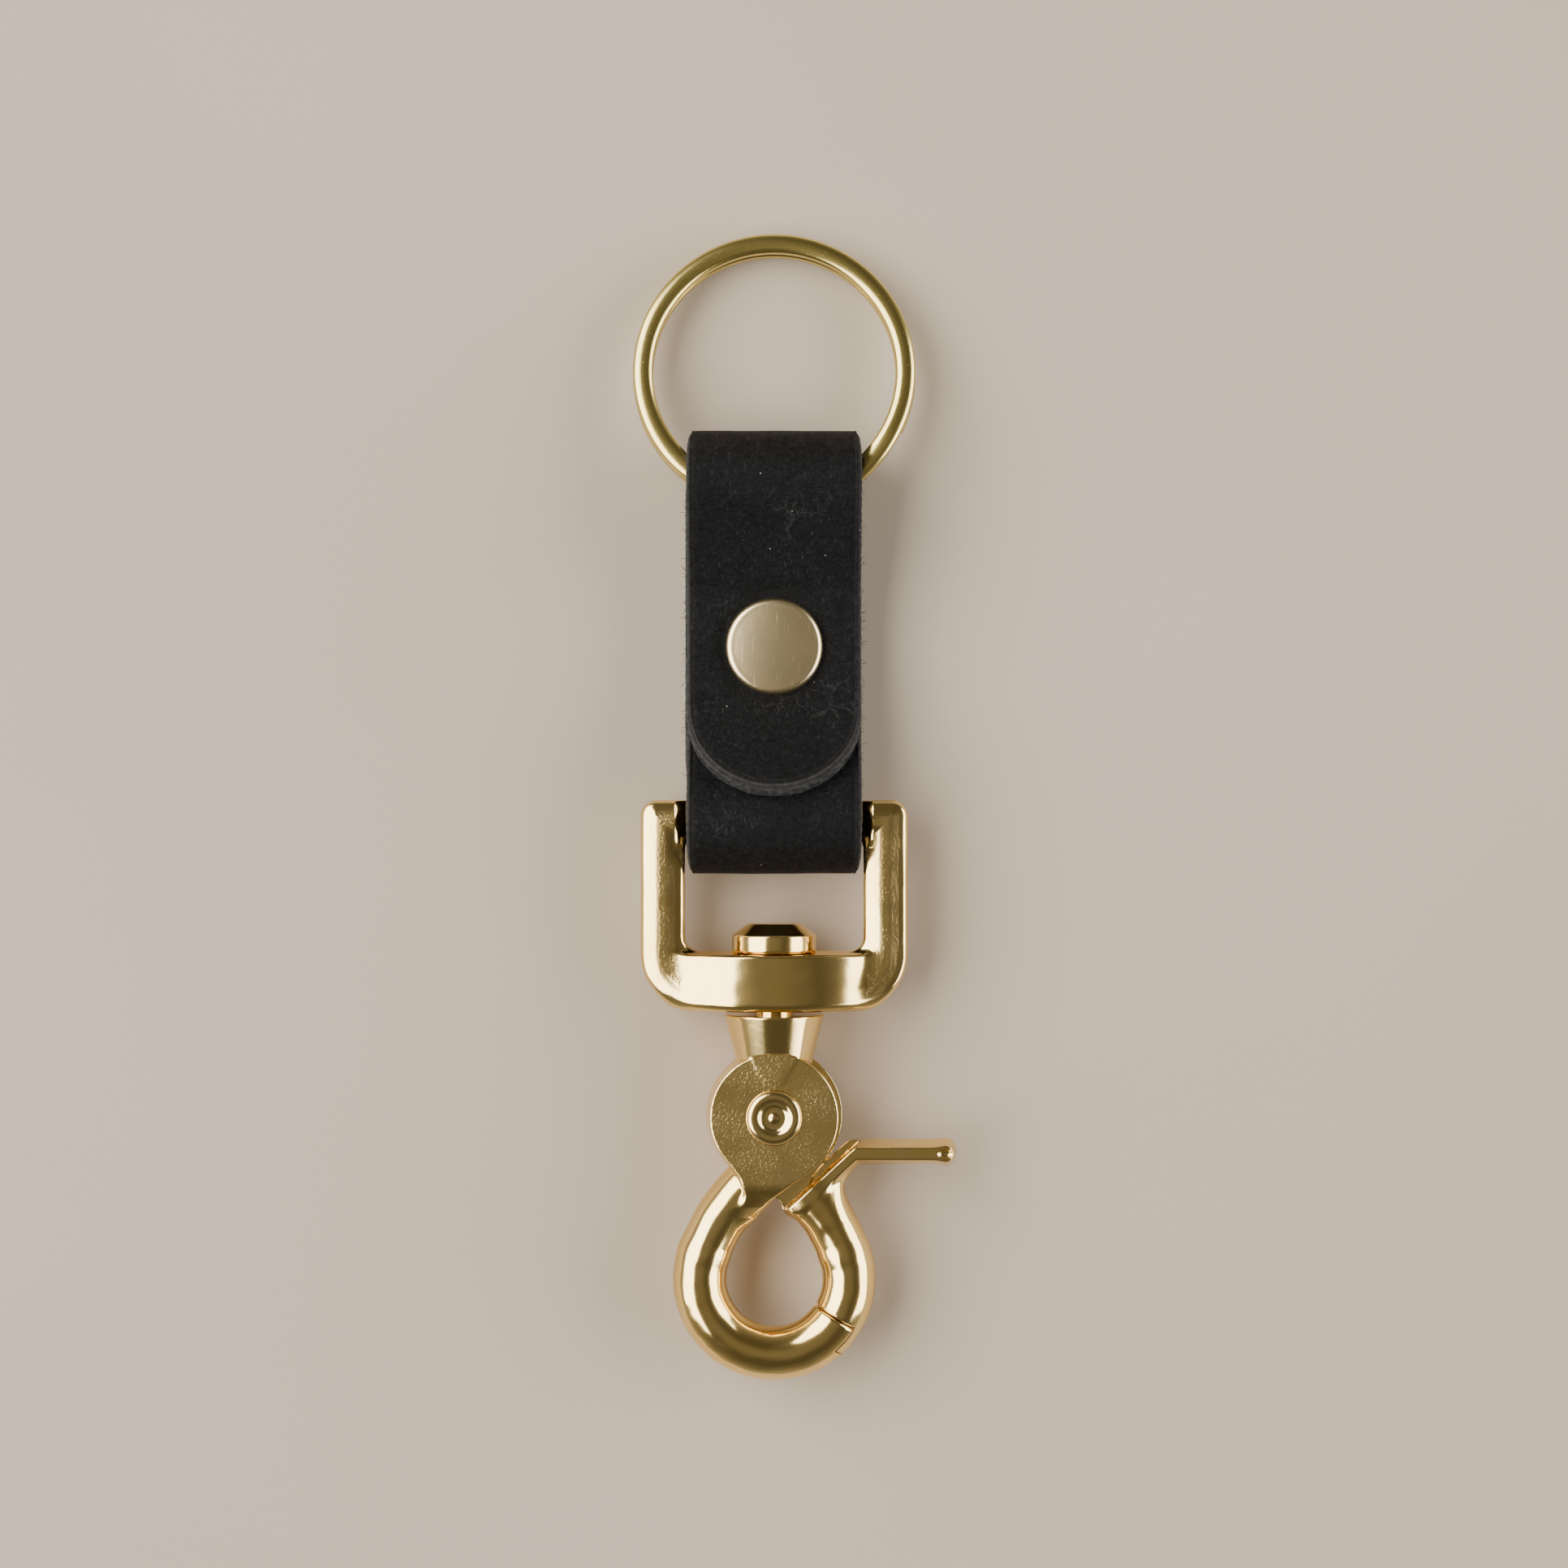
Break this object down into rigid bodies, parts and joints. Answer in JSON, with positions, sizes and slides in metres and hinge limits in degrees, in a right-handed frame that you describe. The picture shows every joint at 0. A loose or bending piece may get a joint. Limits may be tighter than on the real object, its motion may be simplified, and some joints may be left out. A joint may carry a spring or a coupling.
{
  "type": "leather key strap with swivel snap",
  "caption": "Short folded leather strap, riveted, with a split key ring in one loop and a swivel scissor snap hook in the other.",
  "frame": {"origin": "centre of the footprint, on the surface that the back of the strap lies on", "axes": "+Y along the strap towards the key ring, +Z out of the strap's front, +X to the thumb lever's side"},
  "size_m": [0.0351, 0.1246, 0.012],
  "materials": {
    "leather": "matte black, fine grain, raw dyed edges",
    "cap_plate": "pale gold plate, polished",
    "rivet_brass": "drawn brass",
    "ring_brass": "polished",
    "cast_plate": "gold plate over a slightly pitted casting",
    "pin_plate": "gold plate, polished",
    "spring_steel": "drawn spring wire"
  },
  "bodies": {
    "strap": {"strap": "leather", "rivet_front_cap": "cap_plate", "rivet_socket": "rivet_brass", "rivet_post": "rivet_brass", "rivet_back_cap": "cap_plate"},
    "ring": {"key_ring": "ring_brass"},
    "frame": {"swivel_frame": "cast_plate"},
    "hook": {"hook_body": "cast_plate", "swivel_stud": "cast_plate", "pivot_pin": "pin_plate", "gate_spring": "spring_steel"},
    "gate": {"gate": "cast_plate"}
  },
  "joints": [
    {"name": "ring_swing", "type": "hinge", "parent": "strap", "child": "ring", "pos_m": [-0.00215, 0.03479, 0.0057], "axis": [1, 0, 0], "range_deg": [-100, 115]},
    {"name": "frame_swing", "type": "hinge", "parent": "strap", "child": "frame", "pos_m": [-0.00215, -0.00102, 0.0054], "axis": [1, 0, 0], "range_deg": [-100, 100]},
    {"name": "hook_swivel", "type": "hinge", "parent": "frame", "child": "hook", "pos_m": [-0.00215, -0.02, 0.0054], "axis": [0, 1, 0], "continuous": true},
    {"name": "gate_pivot", "type": "hinge", "parent": "hook", "child": "gate", "pos_m": [-0.00215, -0.03362, 0.0054], "axis": [0, 0, 1], "range_deg": [0, 30], "stiffness_Nm_per_rad": 0.05, "springref_deg": -34.38, "deforming": ["gate_spring"]}
  ]
}
